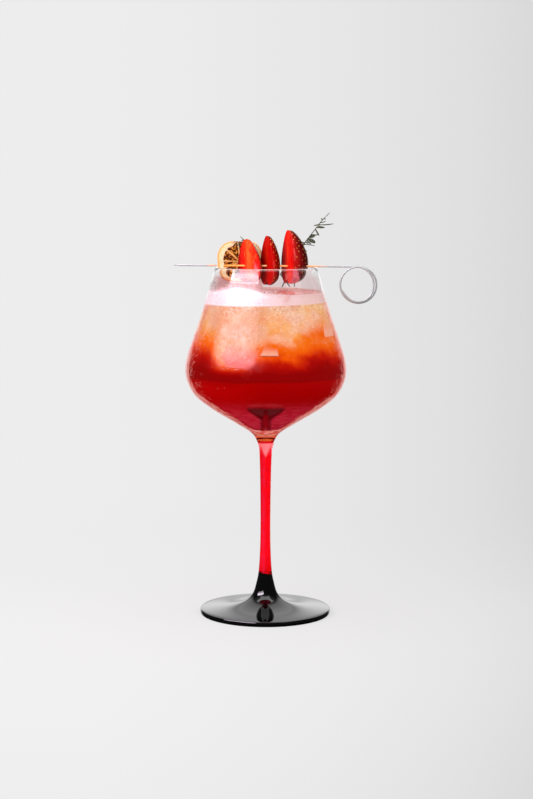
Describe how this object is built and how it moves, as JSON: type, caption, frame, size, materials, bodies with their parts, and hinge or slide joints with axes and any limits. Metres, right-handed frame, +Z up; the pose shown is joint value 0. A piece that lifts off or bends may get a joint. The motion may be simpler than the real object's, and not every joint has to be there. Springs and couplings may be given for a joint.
{
  "type": "berry hibiscus iced tea in a stemmed glass",
  "caption": "Berry hibiscus iced tea in a stemmed glass with a red stem and black foot, capped with foam and a steel skewer of dried citrus and strawberry halves laid across the rim.",
  "frame": {"origin": "centre of the foot's flat underside", "axes": "+Z up along the glass's axis, +X towards the skewer's ring, -Y towards the front"},
  "size_m": [0.1335, 0.1062, 0.266],
  "materials": {
    "clear_glass": "gloss",
    "red_glass": "gloss",
    "black_glass": "gloss",
    "hibiscus_tea": "gloss",
    "berry_juice": "gloss",
    "foam": "matte",
    "steel_wire": "satin",
    "dried_citrus": "satin",
    "strawberry": "satin",
    "thyme": "matte"
  },
  "bodies": {
    "root": {"bowl": "clear_glass", "stem": "red_glass", "foot": "black_glass", "drink_red": "hibiscus_tea", "drink_orange": "berry_juice", "foam": "foam", "skewer": "steel_wire", "citrus_wheel": "dried_citrus", "strawberry_left": "strawberry", "strawberry_middle": "strawberry", "strawberry_right": "strawberry", "thyme_right": "thyme", "thyme_left": "thyme", "thyme_middle": "thyme"}
  },
  "joints": []
}
